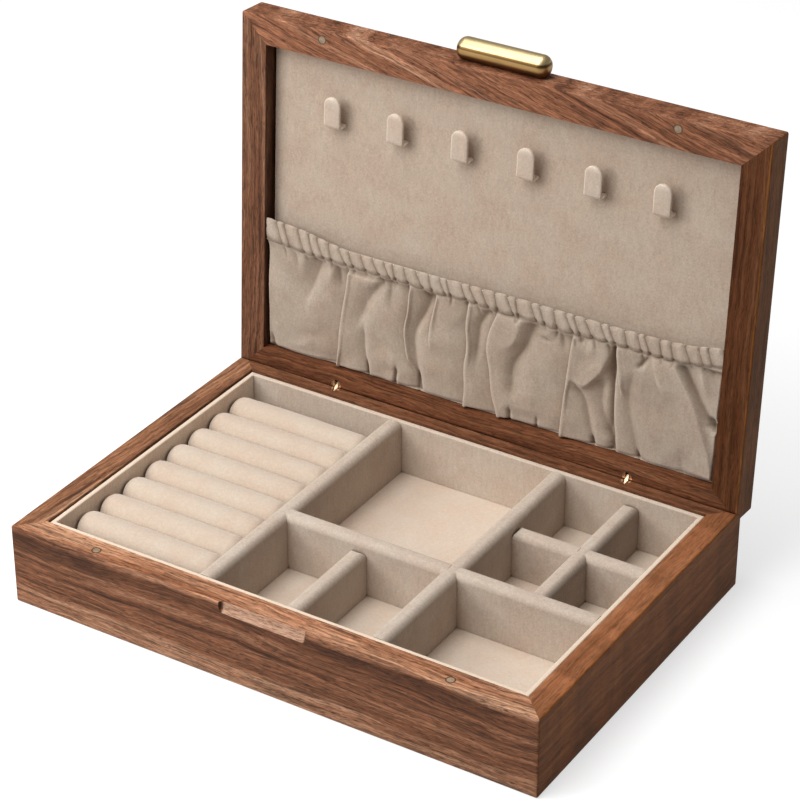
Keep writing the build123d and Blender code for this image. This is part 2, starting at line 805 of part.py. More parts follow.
with BuildPart() as pocket_elastic:
    with BuildSketch(lid_rim.offset(elastic_front)):
        with Locations((0, elastic_y)):
            Rectangle(2 * (pocket_half - elastic_end_gap), elastic_width)
    extrude(amount=elastic_thickness)
save(pocket_elastic, "pocket_elastic")
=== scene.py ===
import math

import bmesh
import bpy
import numpy as np
from mathutils import Matrix, Vector, noise


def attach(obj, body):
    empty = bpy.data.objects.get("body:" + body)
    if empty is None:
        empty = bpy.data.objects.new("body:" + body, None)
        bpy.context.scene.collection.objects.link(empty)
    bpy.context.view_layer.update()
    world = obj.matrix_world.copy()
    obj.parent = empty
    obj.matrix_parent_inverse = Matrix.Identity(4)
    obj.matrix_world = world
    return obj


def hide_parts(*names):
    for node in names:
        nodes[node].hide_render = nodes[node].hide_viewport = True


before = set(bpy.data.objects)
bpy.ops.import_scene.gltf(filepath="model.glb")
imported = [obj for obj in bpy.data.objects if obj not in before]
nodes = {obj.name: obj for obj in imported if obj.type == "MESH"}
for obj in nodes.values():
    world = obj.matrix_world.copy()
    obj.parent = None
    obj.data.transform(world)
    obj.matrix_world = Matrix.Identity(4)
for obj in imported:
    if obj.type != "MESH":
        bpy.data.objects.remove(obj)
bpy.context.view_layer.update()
MM = 0.001

# Camera at the photograph's viewing angle
CAMERA_PLACE, CAMERA_AIM, CAMERA_LENS = (0.5888, -0.9242, 0.7490), (-0.4563, 0.7314, -0.5068), 126.66
camera_data = bpy.data.cameras.new("camera")
camera = bpy.data.objects.new("camera", camera_data)
bpy.context.scene.collection.objects.link(camera)
camera_data.sensor_width = 36.0
camera_data.lens = CAMERA_LENS
camera_data.clip_start = 0.05
camera.location = CAMERA_PLACE
camera.rotation_euler = Vector(CAMERA_AIM).to_track_quat("-Z", "Y").to_euler()
bpy.context.scene.camera = camera

# The open lid: the middle of its rim's plane, in millimetres, and how it leans
LEAN_SINE, LEAN_COSINE = 0.055822, 0.998441
LID_ORIGIN = Vector((0.0, 95.6773, 131.978))
LID_DOWN = Vector((0.0, -LEAN_SINE, -LEAN_COSINE))
LID_IN = Vector((0.0, LEAN_COSINE, -LEAN_SINE))

# Where the materials change, each as a fade between two places, in millimetres
RIGHT_FACE, LEFT_INNER, FRONT_FACE = (138.7, 139.4), (-126.4, -125.9), (-95.22, -95.05)
RIM_RISE, RIM_FACE, FOOT_RISE, SCOOP_END = (39.9, 41.2), (41.25, 41.42), (6.5, 11.5), (23.4, 23.8)
MAGNET_X, MAGNET_Y, BASE_HEIGHT, WALL_HEIGHT = 94.0, -90.55, 41.5, 40.7
# Colour of the painted highlight along the tray walls' top edge
TOP_EDGE_HIGHLIGHT = (0.78, 0.63, 0.49)


def lid_point(x, y, depth):
    """Point, in metres, of lid coordinates in millimetres: across the lid, down it and into it."""
    return (LID_ORIGIN + Vector((x, 0, 0)) + LID_DOWN * y + LID_IN * depth) * MM


# ---------------------------------------------------------------- materials
class Tree:
    """A new material, with helpers that add nodes and link them."""

    def __init__(self, name):
        self.material = bpy.data.materials.new(name)
        self.material.use_nodes = True
        self.nodes = self.material.node_tree.nodes
        self.links = self.material.node_tree.links
        self.nodes.clear()
        self.output = self.nodes.new("ShaderNodeOutputMaterial")

    def add(self, kind, settings=None, **inputs):
        """A node with its settings and inputs, of which i0, i1 and so on go by number."""
        node = self.nodes.new("ShaderNode" + kind)
        for key, value in (settings or {}).items():
            setattr(node, key, value)
        for key, value in inputs.items():
            socket = node.inputs[int(key[1:]) if key[0] == "i" else key.replace("_", " ")]
            if isinstance(value, bpy.types.NodeSocket):
                self.links.new(value, socket)
            elif socket.type == "RGBA" and len(value) == 3:
                socket.default_value = (*value, 1.0)
            else:
                socket.default_value = value
        return node

    def math(self, operation, a, b=0.0):
        return self.add("Math", {"operation": operation}, i0=a, i1=b).outputs[0]

    def vector(self, operation, a, b):
        return self.add("VectorMath", {"operation": operation}, i0=a, i1=b).outputs[0]

    def noise(self, vector, scale, detail, roughness, distortion=0.0, output=0):
        return self.add("TexNoise", None, Vector=vector, Scale=scale, Detail=detail, Roughness=roughness,
                        Distortion=distortion).outputs[output]

    def ramp(self, fac, stops):
        node = self.add("ValToRGB", None, Fac=fac)
        elements = node.color_ramp.elements
        while len(elements) < len(stops):
            elements.new(0.5)
        for element, (place, colour) in zip(elements, stops):
            element.position = place
            element.color = (*colour, 1.0)
        return node.outputs[0]

    def grey(self, fac, low, high, low_value=0.0, high_value=1.0):
        """A fade from one value to another as fac goes from low to high."""
        return self.add("MapRange", {"clamp": True}, i0=fac, i1=low, i2=high, i3=low_value, i4=high_value).outputs[0]

    def mix(self, fac, a, b, blend="MIX"):
        return self.add("Mix", {"data_type": "RGBA", "blend_type": blend}, i0=fac, i6=a, i7=b).outputs[2]

    def scaled(self, colour, factors):
        """The colour times one factor, or times one for each channel."""
        red, green, blue = factors if isinstance(factors, tuple) else (factors,) * 3
        return self.mix(1.0, colour, self.add("CombineXYZ", None, X=red, Y=green, Z=blue).outputs[0], "MULTIPLY")

    def bump(self, height, distance, strength):
        return self.add("Bump", None, Height=height, Distance=distance, Strength=strength).outputs[0]

    def shader(self, colour, roughness, normal, **sockets):
        node = self.add("BsdfPrincipled", None, Base_Color=colour, Roughness=roughness, Normal=normal, **sockets)
        self.links.new(node.outputs[0], self.output.inputs[0])


def times(colour, *factors):
    """A colour times one factor, or times one for each channel."""
    return tuple(c * k for c, k in zip(colour, factors if len(factors) == 3 else factors * 3))


def object_space(t):
    """Object coordinates, in metres."""
    return t.add("TexCoord").outputs["Object"]


def grain_space(t, along, up, seed, tilt):
    """Object coordinates in millimetres, turned so that X runs along the grain."""
    along, up = Vector(along).normalized(), Vector(up).normalized()
    turned = Matrix((along, up.cross(along), up))
    if tilt:
        turned = Matrix.Rotation(math.radians(tilt), 3, "Z") @ turned
    return t.add("Mapping", {"vector_type": "POINT"}, Vector=object_space(t), Scale=(1000.0, 1000.0, 1000.0),
                 Rotation=turned.to_euler(), Location=seed).outputs[0]


def object_axis(t, axis):
    """One of the object coordinates, in millimetres."""
    return t.math("MULTIPLY", t.add("SeparateXYZ", None, Vector=object_space(t)).outputs[axis], 1000.0)


# The layers of the grain: scale along the board and across it per millimetre, detail, roughness, distortion
GRAIN = {
    "wander": (0.009, 0.026, 2.0, 0.5), "ripple": (0.05, 0.12, 2.0, 0.5), "streaks": (0.005, 0.16, 4.0, 0.65),
    "broad": (0.005, 0.045, 2.0, 0.5), "blots": (0.025, 0.035, 2.0, 0.5), "fibre": (0.10, 1.35, 3.0, 0.78),
    "pores": (0.19, 2.3, 1.0, 0.5), "lines": (0.014, 0.58, 2.0, 0.6), "curl": (0.075, 0.012, 3.0, 0.5, 0.4),
}
# How far the ripple bends the grain, and how far off the board lies from the heart of the tree
RIPPLE_REACH, HEART_ACROSS, HEART_DEEP = 2.4, 40.0, 70.0
WALNUT_TONES = [
    (0.0, (0.058, 0.022, 0.010)), (0.22, (0.128, 0.050, 0.024)), (0.5, (0.240, 0.101, 0.050)),
    (0.78, (0.335, 0.166, 0.093)), (1.0, (0.440, 0.248, 0.150)),
]
BLOT_TONE, PORE_TONE = (0.270, 0.112, 0.055), (0.040, 0.017, 0.009)


def walnut(name, along, up, seed, tone=(1.0, 1.0, 1.0), tilt=0.0, contrast=1.0, wave=11.0, fine=1.0, bands=None,
           cross=0.0, shade=None, gloss=0.18):
    """Oiled walnut: growth rings, long dark streaks, fibres and short open pores.

    wave is how far the grain wanders, fine the strength of its fibres, bands lays light and dark
    stripes across the board, cross adds a curl across the grain, and shade changes the colour from
    place to place.
    """
    t = Tree(name)

    def layer(space, kind, output=0):
        length, across, *rest = GRAIN[kind]
        return t.noise(t.vector("MULTIPLY", space, (length, across, across)), 1.0, *rest, output=output)

    space = grain_space(t, along, up, seed, tilt)
    bent = space
    for kind, reach in (("wander", wave), ("ripple", RIPPLE_REACH)):
        shift = t.vector("SUBTRACT", layer(space, kind, "Color"), (0.5, 0.5, 0.5))
        bent = t.vector("ADD", bent, t.vector("MULTIPLY", shift, (0.0, reach, reach)))
    parts = t.add("SeparateXYZ", None, Vector=bent)
    across = t.math("ADD", parts.outputs[1], HEART_ACROSS)
    deep = t.math("ADD", parts.outputs[2], HEART_DEEP)
    radius = t.math("SQRT", t.math("ADD", t.math("MULTIPLY", across, across), t.math("MULTIPLY", deep, deep)))
    rings = t.add("TexNoise", {"noise_dimensions": "1D"}, W=t.math("MULTIPLY", radius, 0.25), Scale=1.0, Detail=3.0,
                  Roughness=0.65).outputs[0]
    streaks, broad, fibre, pores, lines = (
        layer(bent, kind) for kind in ("streaks", "broad", "fibre", "pores", "lines")
    )
    figure = t.math("ADD", t.math("MULTIPLY", rings, 0.38), t.math("MULTIPLY", streaks, 0.38))
    figure = t.math("ADD", figure, t.math("MULTIPLY", broad, 0.24))
    if bands:
        low, high, stops = bands
        band = t.ramp(t.grey(parts.outputs[1], low, high), [(place, (level, level, level)) for place, level in stops])
        figure = t.math("ADD", figure, t.math("MULTIPLY", t.math("SUBTRACT", band, 0.5), 0.26))
    figure = t.grey(figure, 0.5 - 0.135 / contrast, 0.5 + 0.125 / contrast)
    colour = t.mix(t.grey(layer(space, "blots"), 0.35, 0.68, 0.0, 0.4), t.ramp(figure, WALNUT_TONES), BLOT_TONE)
    fibre_tone = t.grey(fibre, 0.25, 0.75, 1.0 - 0.62 * fine, 1.0 + 0.58 * fine)
    fibre_tone = t.math("MULTIPLY", fibre_tone, t.grey(lines, 0.52, 0.66, 1.06, 1.0 - 0.42 * fine))
    if cross:
        curl = t.grey(layer(bent, "curl"), 0.3, 0.7, 1.0 - cross, 1.0 + cross)
        fibre_tone = t.math("MULTIPLY", fibre_tone, curl)
    colour = t.scaled(colour, fibre_tone)
    open_pores = t.math("MULTIPLY", t.grey(pores, 0.57, 0.65), t.grey(rings, 0.35, 0.6, 1.0, 0.6))
    colour = t.mix(t.math("MULTIPLY", open_pores, 0.72 * fine), colour, PORE_TONE)
    colour = t.mix(1.0, colour, tone, "MULTIPLY")
    if shade is not None:
        colour = shade(t, colour)
    normal = t.bump(t.math("SUBTRACT", t.math("MULTIPLY", fibre, 0.35), open_pores), 0.00009, 0.7)
    t.shader(colour, t.grey(figure, 0.0, 1.0, 0.60, 0.50), normal, IOR=1.46, Specular_IOR_Level=gloss)
    return t.material


def side_tint_and_shade(side, tint):
    """A shade that multiplies one side face of a rail by the tint and leaves its rim as it is."""

    def shade(t, colour):
        return t.mix(t.grey(object_axis(t, 0), *side), colour, t.mix(1.0, colour, tint, "MULTIPLY"))

    return shade


def sapwood_and_painted_light(t, colour):
    """The front rail is paler along its rim, partly the wood's own band and partly a painted highlight, and towards
    the left along its foot; its scoop gets painted light, with painted shadow at the scoop's ends.
    """
    length, depth, height = (object_axis(t, axis) for axis in range(3))
    # The rim is lighter: partly the wood's own paler band, partly a painted highlight
    rim = t.grey(height, *RIM_RISE, 1.0, 1.30)
    foot = t.math("MULTIPLY", t.grey(height, *FOOT_RISE, 1.0, 0.0), t.grey(length, -140.0, 90.0, 0.18, 0.0))
    gain = t.math("MULTIPLY", rim, t.math("ADD", 1.0, foot))
    # The scoop's cut surface lies behind the front face, below the rim and between the scoop's ends
    side = t.math("ABSOLUTE", length)
    cut = t.math("MULTIPLY", t.grey(side, *SCOOP_END, 1.0, 0.0), t.grey(depth, *FRONT_FACE))
    cut = t.math("MULTIPLY", cut, t.grey(height, *RIM_FACE, 1.0, 0.0))
    # Painted light on the scoop: a pale flecked colour and a higher gain, with painted shadow at its two ends
    stretched = t.vector("MULTIPLY", object_space(t), (230.0, 2100.0, 2100.0))
    fleck = t.grey(t.noise(stretched, 1.0, 3.0, 0.7), 0.38, 0.56)
    painted_lit_scoop = t.mix(fleck, (0.230, 0.110, 0.066), (0.520, 0.325, 0.220))
    colour = t.mix(t.math("MULTIPLY", cut, t.grey(side, 21.2, 22.4, 0.85, 0.0)), colour, painted_lit_scoop)
    painted_end_shadow = t.grey(side, 21.4, 22.8, 0.22, -0.66)
    gain = t.math("MULTIPLY", gain, t.math("ADD", 1.0, t.math("MULTIPLY", cut, painted_end_shadow)))
    return t.scaled(colour, gain)


def suede(name, colour, nap=0.07, sheen=0.22, soft=1.0, seam=0.0, uses_painted_shading=False, edge=0.0, right_facing_shade=0.0, highlight_share=0.85):
    """Microfibre suede: a fine nap that mottles the colour, soft patches and a sheen.

    seam paints shade into the corners and contact lines within so many millimetres, the painted
    shading option follows the light and shade painted on the mesh, edge is the height from which the
    top edge gets a painted highlight, by the given share, and the right-facing share paints shade on
    the faces that look to the right, or painted light when it is negative.
    """
    t = Tree(name)
    space = t.vector("MULTIPLY", object_space(t), (1000.0, 1000.0, 1000.0))
    fine = t.noise(space, 1.05, 3.0, 0.7)
    hair = t.noise(space, 3.4, 2.0, 0.6)
    patch = t.noise(space, 0.06, 3.0, 0.5, 0.6)
    weave = t.noise(t.vector("MULTIPLY", space, (0.50, 0.8, 0.18)), 1.0, 3.0, 0.6)
    value = t.math("ADD", t.math("MULTIPLY", fine, 0.62), t.math("MULTIPLY", patch, 0.28 * soft))
    value = t.math("ADD", value, t.math("MULTIPLY", weave, 0.30))
    value = t.grey(value, 0.38, 0.82, 1.0 - nap * 1.6, 1.0 + nap * 1.6)
    warm, cool = times(colour, 1.02, 0.985, 0.97), times(colour, 0.98, 1.01, 1.02)
    tinted = t.scaled(t.mix(t.grey(patch, 0.35, 0.7), warm, cool), value)
    # Painted shade on the faces that look to the right, and painted light on them when the share is negative
    if right_facing_shade:
        facing = t.add("SeparateXYZ", None, Vector=t.add("TexCoord").outputs["Normal"]).outputs[0]
        tinted = t.scaled(tinted, t.grey(facing, 0.2, 1.0, 1.0, 1.0 - right_facing_shade))
    # Painted highlight along the wall's top edge
    if edge:
        top = t.grey(object_axis(t, 2), edge - 0.7, edge - 0.15)
        tinted = t.mix(t.math("MULTIPLY", top, highlight_share), tinted, TOP_EDGE_HIGHLIGHT)
    # Painted light and shade, stored on the mesh's points
    if uses_painted_shading:
        tone = t.add("Attribute", {"attribute_name": "tone"}).outputs["Fac"]
        tinted = t.scaled(tinted, (tone, t.math("POWER", tone, 1.12), t.math("POWER", tone, 1.25)))
    # Painted shade: ambient occlusion darkens the corners and contact lines
    if seam:
        near = t.add("AmbientOcclusion", {"samples": 6, "only_local": False}, Distance=seam * MM).outputs["AO"]
        tinted = t.mix(t.grey(near, 0.12, 0.6), tuple(c * c * 0.6 for c in colour), tinted)
    normal = t.bump(t.math("ADD", t.math("MULTIPLY", fine, 0.6), t.math("MULTIPLY", hair, 0.4)), 0.00026, 0.75)
    t.shader(tinted, 0.93, normal, Sheen_Weight=sheen, Sheen_Roughness=0.55, Specular_IOR_Level=0.12,
             Sheen_Tint=(1.0, 0.93, 0.86))
    return t.material


def metal(name, colour, roughness, streak=(1.0, 1.0, 1.0), wear=0.05, painted_reflection=None):
    """Metal with faint turning marks and a cloudy polish; painted reflection bands darken it at each height."""
    t = Tree(name)
    source = object_space(t)
    marks = t.noise(t.vector("MULTIPLY", source, times(streak, 1000.0)), 1.0, 3.0, 0.6)
    cloud = t.noise(source, 90.0, 3.0, 0.5)
    rough = t.math("ADD", t.grey(cloud, 0.3, 0.7, roughness - wear, roughness + wear),
                   t.grey(marks, 0.3, 0.7, -0.02, 0.05))
    tint = t.mix(t.grey(cloud, 0.3, 0.75), colour, times(colour, 0.88))
    # Painted reflection and shade: light and dark bands by height
    if painted_reflection:
        low, high, stops = painted_reflection
        tint = t.mix(1.0, tint, t.ramp(t.grey(object_axis(t, 2), low, high), stops), "MULTIPLY")
    t.shader(tint, rough, t.bump(marks, 0.000006, 0.25), Metallic=1.0)
    return t.material


def magnet(name, centre, tone=1.0):
    """A nickel-plated magnet with a mottled brown face, darker round its edge, and the same on the left."""
    t = Tree(name)
    source = t.vector("MULTIPLY", object_space(t), (1000.0, 1000.0, 1000.0))
    folded = t.add("VectorMath", {"operation": "ABSOLUTE"}, i0=source).outputs[0]
    parts, rest = t.add("SeparateXYZ", None, Vector=folded), t.add("SeparateXYZ", None, Vector=source)
    place = t.add("CombineXYZ", None, X=parts.outputs[0], Y=rest.outputs[1], Z=rest.outputs[2]).outputs[0]
    reach = t.add("VectorMath", {"operation": "DISTANCE"}, i0=place, i1=centre).outputs["Value"]
    cloud = t.noise(source, 0.5, 3.0, 0.6)
    magnet_colour = t.mix(t.grey(cloud, 0.35, 0.65), times((0.36, 0.24, 0.15), tone), times((0.50, 0.37, 0.25), tone))
    magnet_colour = t.mix(t.grey(reach, 1.55, 1.95), magnet_colour, (0.10, 0.055, 0.03))
    t.shader(magnet_colour, 0.42, t.bump(cloud, 0.00003, 0.5), Metallic=0.45, Specular_IOR_Level=0.4)
    return t.material


def assign(obj, material):
    """Gives a carried-over solid its one material."""
    obj.data.materials.clear()
    obj.data.materials.append(material)


# Walnut of each board: the direction of its grain, the way it faces, its place in the figure and its tone
X_AXIS, Y_AXIS, Z_AXIS = (1, 0, 0), (0, 1, 0), (0, 0, 1)
lid_down, lid_out = tuple(LID_DOWN), tuple(-LID_IN)
FRONT_STRIPES = [(0.0, 0.95), (0.11, 0.8), (0.15, 0.2), (0.24, 0.1), (0.36, 0.4), (0.46, 0.2), (0.56, 0.55),
                 (0.66, 0.4), (0.74, 0.45), (0.82, 0.85), (1.0, 0.75)]
wood = {
    "base_front_rail": walnut("walnut_front", X_AXIS, Y_AXIS, (11, 5, 3), (0.95, 0.90, 0.87), contrast=1.15,
                              fine=1.15, bands=(-40.0, 5.0, FRONT_STRIPES), shade=sapwood_and_painted_light),
    "base_back_rail": walnut("walnut_back", X_AXIS, Z_AXIS, (240, 31, 17), (0.74, 0.69, 0.64)),
    "base_left_rail": walnut("walnut_left", Y_AXIS, Z_AXIS, (90, 77, 50), (1.22, 1.28, 1.28), tilt=4.0),
    # The base's right face: a greyer wood colour, partly darkened as painted shade
    "base_right_rail": walnut("walnut_right", Y_AXIS, Z_AXIS, (400, 12, 88), (1.08, 0.98, 0.85), contrast=0.4,
                              fine=0.6, cross=0.22, shade=side_tint_and_shade(RIGHT_FACE, (0.87, 0.80, 0.54)), gloss=0.08),
    "lid_front_rail": walnut("walnut_lid_front", X_AXIS, lid_out, (610, 45, 20), (1.10, 1.04, 1.04), tilt=15.0,
                             contrast=0.9, wave=9.0, fine=1.2),
    "lid_back_rail": walnut("walnut_lid_back", X_AXIS, lid_out, (820, 9, 63), (0.76, 0.66, 0.58), contrast=0.8),
    # The lid's left rail: painted shade on its inner face, where a shadow gap falls by the lining
    "lid_left_rail": walnut("walnut_lid_left", lid_down, lid_out, (55, 60, 5), (0.62, 0.58, 0.55),
                            shade=side_tint_and_shade(LEFT_INNER, (0.50, 0.46, 0.42))),
    "lid_right_rail": walnut("walnut_lid_right", lid_down, lid_out, (777, 28, 41), (0.42, 0.35, 0.28), contrast=0.7,
                             fine=0.7, shade=side_tint_and_shade(RIGHT_FACE, (2.1, 2.2, 1.5)), gloss=0.08),
    "lid_top_panel": walnut("walnut_lid_top", X_AXIS, lid_out, (150, 200, 40), (1.0, 0.98, 0.95)),
    "base_bottom_panel": walnut("walnut_bottom", X_AXIS, Z_AXIS, (350, 150, 9), (0.95, 0.92, 0.9)),
}
# Painted shade in the corners of the tray and the lining, painted shade on the dividers' right-facing faces,
# strongest in the small cell, painted light on the walls' right-facing faces, and a painted highlight on the walls'
# top edges
tray_suede = suede("tray_suede", (0.520, 0.428, 0.350), 0.14, seam=2.2, right_facing_shade=0.12)
cell_suede = suede("small_cell_suede", (0.520, 0.428, 0.350), 0.14, seam=2.2, right_facing_shade=0.42)
wall_suede = suede("tray_wall_suede", (0.570, 0.470, 0.382), 0.14, seam=2.2, edge=WALL_HEIGHT, right_facing_shade=-0.34)
back_suede = suede("tray_back_suede", (0.545, 0.450, 0.366), 0.14, seam=2.2, edge=WALL_HEIGHT, highlight_share=0.3)
floor_suede = suede("floor_suede", (0.635, 0.522, 0.422), 0.07, seam=2.2)
lining_suede = suede("lining_suede", (0.490, 0.388, 0.303), 0.14, seam=1.6)
hook_suede = suede("hook_suede", (0.600, 0.490, 0.395), 0.11, uses_painted_shading=True)
cushion_suede = suede("cushion_suede", (0.555, 0.450, 0.357), 0.09, 0.55)
pocket_suede = suede("pocket_suede", (0.428, 0.341, 0.266), 0.14, 0.4, 0.7, uses_painted_shading=True)
board = walnut("floor_board", X_AXIS, Z_AXIS, (33, 44, 55), (1.4, 1.45, 1.5), contrast=0.4)
# Painted reflection and shade on the bar: dark at its foot, brown above that, and bright above a thin dark line
PAINTED_REFLECTION_BANDS = [
    (0.0, (0.16, 0.10, 0.07)), (0.23, (0.20, 0.13, 0.09)), (0.33, (0.40, 0.31, 0.22)), (0.48, (0.44, 0.35, 0.25)),
    (0.53, (0.12, 0.09, 0.06)), (0.62, (0.15, 0.11, 0.07)), (0.68, (0.74, 0.71, 0.66)), (1.0, (1.0, 1.0, 1.0)),
]
brass = metal("polished_brass", (0.92, 0.72, 0.40), 0.40, (0.05, 2.2, 2.2), 0.03, (228.0, 238.0, PAINTED_REFLECTION_BANDS))
hinge_brass = metal("hinge_brass", (0.62, 0.42, 0.28), 0.36)
steel = metal("pin_steel", (0.56, 0.55, 0.53), 0.33)
base_nickel = magnet("base_magnet_nickel", (MAGNET_X, MAGNET_Y, BASE_HEIGHT))
lid_magnet = tuple(LID_ORIGIN + Vector((MAGNET_X, 0, 0)) + LID_DOWN * MAGNET_Y)
# The lid's magnets take a darker copy of the same finish: painted shade
lid_magnet_shaded = magnet("lid_magnet_nickel", lid_magnet, 0.62)
elastic = suede("woven_elastic", (0.62, 0.54, 0.45), 0.12)

for name, material in wood.items():
    assign(nodes[name], material)
for material, names in (
    (tray_suede, "ring_bay_divider middle_cross_divider front_cell_divider right_bay_divider right_cross_divider "
                 "small_cross_left small_cross_right"),
    (cell_suede, "small_cell_divider"),
    (wall_suede, "tray_front_wall tray_left_wall tray_right_wall"),
    (back_suede, "tray_back_wall"),
    (floor_suede, "tray_floor_lining"),
    (board, "tray_floor_board"),
    (lining_suede, "lid_lining_board"),
    (elastic, "pocket_elastic"),
    (hinge_brass, "lower_hinge_barrels upper_hinge_barrels hinge_links"),
    (steel, "lower_hinge_pins upper_hinge_pins handle_screws"),
    (base_nickel, "base_magnets"),
    (lid_magnet_shaded, "lid_magnets"),
):
    for name in names.split():
        assign(nodes[name], material)


# ---------------------------------------------------------------- pieces
def make_object(name, verts, faces, material, smooth=True):
    """A mesh object with one material, linked to the scene."""
    mesh = bpy.data.meshes.new(name)
    mesh.from_pydata([tuple(v) for v in verts], [], faces)
    mesh.validate()
    mesh.update()
    for polygon in mesh.polygons:
        polygon.use_smooth = smooth
    obj = bpy.data.objects.new(name, mesh)
    bpy.context.scene.collection.objects.link(obj)
    obj.data.materials.append(material)
    return obj


def grid_faces(rows, columns, closed=False):
    """Faces between neighbouring rows of points, joined at the sides where closed."""
    faces = []
    for r in range(rows - 1):
        for c in range(columns if closed else columns - 1):
            n = (c + 1) % columns
            faces.append((r * columns + c, r * columns + n, (r + 1) * columns + n, (r + 1) * columns + c))
    return faces


def capped(rows, columns):
    """Faces of a closed tube of rows, with a cap at each end."""
    faces = grid_faces(rows, columns, closed=True)
    faces.append(tuple(range(columns - 1, -1, -1)))
    faces.append(tuple((rows - 1) * columns + k for k in range(columns)))
    return faces


def face_outwards(obj):
    """Turns the normals of a closed mesh outwards."""
    bm = bmesh.new()
    bm.from_mesh(obj.data)
    bmesh.ops.recalc_face_normals(bm, faces=bm.faces)
    bm.to_mesh(obj.data)
    bm.free()


def set_painted_shading(obj, painted_shading):
    """Writes the painted light and shade of each point, which the suede with painted shading follows."""
    attribute = obj.data.attributes.new("tone", "FLOAT", "POINT")
    attribute.data.foreach_set("value", np.asarray(painted_shading, dtype=np.float32))


def smooth_step(low, high, value):
    """0 below low, 1 above high and smooth between them, for numbers and arrays."""
    share = np.clip((np.asarray(value, dtype=float) - low) / (high - low), 0.0, 1.0)
    return share * share * (3 - 2 * share)


def waves(x, y, seed):
    """Smooth seeded noise from -1 to 1 over a unit lattice, for whole arrays at once."""
    cells = np.random.default_rng(seed).uniform(-1.0, 1.0, (256, 256))
    x, y = np.broadcast_arrays(np.asarray(x, dtype=float) + 91.7, np.asarray(y, dtype=float) + 57.3)
    column, row = np.floor(x).astype(int), np.floor(y).astype(int)
    u, v = x - column, y - row
    u, v = u * u * u * (u * (u * 6 - 15) + 10), v * v * v * (v * (v * 6 - 15) + 10)
    a, b = cells[row % 256, column % 256], cells[row % 256, (column + 1) % 256]
    c, d = cells[(row + 1) % 256, column % 256], cells[(row + 1) % 256, (column + 1) % 256]
    return (a * (1 - u) + b * u) * (1 - v) + (c * (1 - u) + d * u) * v


# Ring cushions: rolled tops, drawn-in sides, domed ends and a slightly uneven stuffing
ROLLS, ROLL_START, ROLL_END, ROLL_HALF, ROLL_RISE, ROLL_PITCH = 8, -124.4, -46.1, 8.65, 25.6, 17.7
FLOOR_TOP, ROLL_FOOT, ROLL_DOME, ROLL_SINK = 12.0, 0.8, 5.5, 0.4


def cushion(index):
    """One ring cushion, from its left end to its right end."""
    centre = ((ROLLS - 1) / 2 - index) * ROLL_PITCH
    steps = [0.0, 0.03, 0.1, 0.22, 0.4, 0.65, 1.0]
    places = [(ROLL_START + s * ROLL_DOME, s) for s in steps]
    places += [(ROLL_START + ROLL_DOME + (ROLL_END - ROLL_START - 2 * ROLL_DOME) * k / 12, 1.0) for k in range(1, 12)]
    places += [(ROLL_END - s * ROLL_DOME, s) for s in reversed(steps)]
    verts = []
    for x, s in places:
        inset = ROLL_DOME * (1 - math.sqrt(max(0.0, 1 - (1 - s) ** 2)))
        middle = (x - (ROLL_START + ROLL_END) / 2) / (ROLL_END - ROLL_START)
        half = ROLL_HALF - inset - ROLL_SINK * (2 * middle) ** 2
        axis_z = FLOOR_TOP + ROLL_RISE - ROLL_HALF
        outline = []
        for k in range(9):
            share = k / 9
            outline.append((half - ROLL_FOOT * (1 - share) ** 1.5, FLOOR_TOP + (axis_z - FLOOR_TOP) * share))
        for k in range(23):
            turn = math.pi * k / 22
            outline.append((half * math.cos(turn), axis_z + half * math.sin(turn)))
        for k in range(8, 0, -1):
            share = k / 9
            outline.append((-half + ROLL_FOOT * (1 - share) ** 1.5, FLOOR_TOP + (axis_z - FLOOR_TOP) * share))
        for y, z in outline:
            point = Vector((x * 0.05, (centre + y) * 0.07, z * 0.07 + index * 3.1))
            swell = 0.22 * noise.noise(point) + 0.08 * noise.noise(point * 4)
            lift = smooth_step(FLOOR_TOP + 4, FLOOR_TOP + 14, z)
            verts.append((x * MM, (centre + y * (1 + swell * 0.03)) * MM, (z + min(0.0, swell) * lift) * MM))
    obj = make_object(f"cushion_{index + 1}", verts, capped(len(places), len(outline)), cushion_suede)
    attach(obj, "base")
    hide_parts(f"ring_roll_{index + 1}")


for roll_index in range(ROLLS):
    cushion(roll_index)


# Hooks: a round-topped strip covered in suede, bent back to the lining board at its foot
HOOKS, HOOK_PITCH, HOOK_TOP, HOOK_WIDTH, HOOK_HEIGHT, HOOK_THICK = 6, 35.4, -62.2, 9.0, 16.2, 1.8
HOOK_BACK, HOOK_BEND, HOOK_COLUMNS, LINING_DEPTH = 2.7, 1.5, 36, 7.4


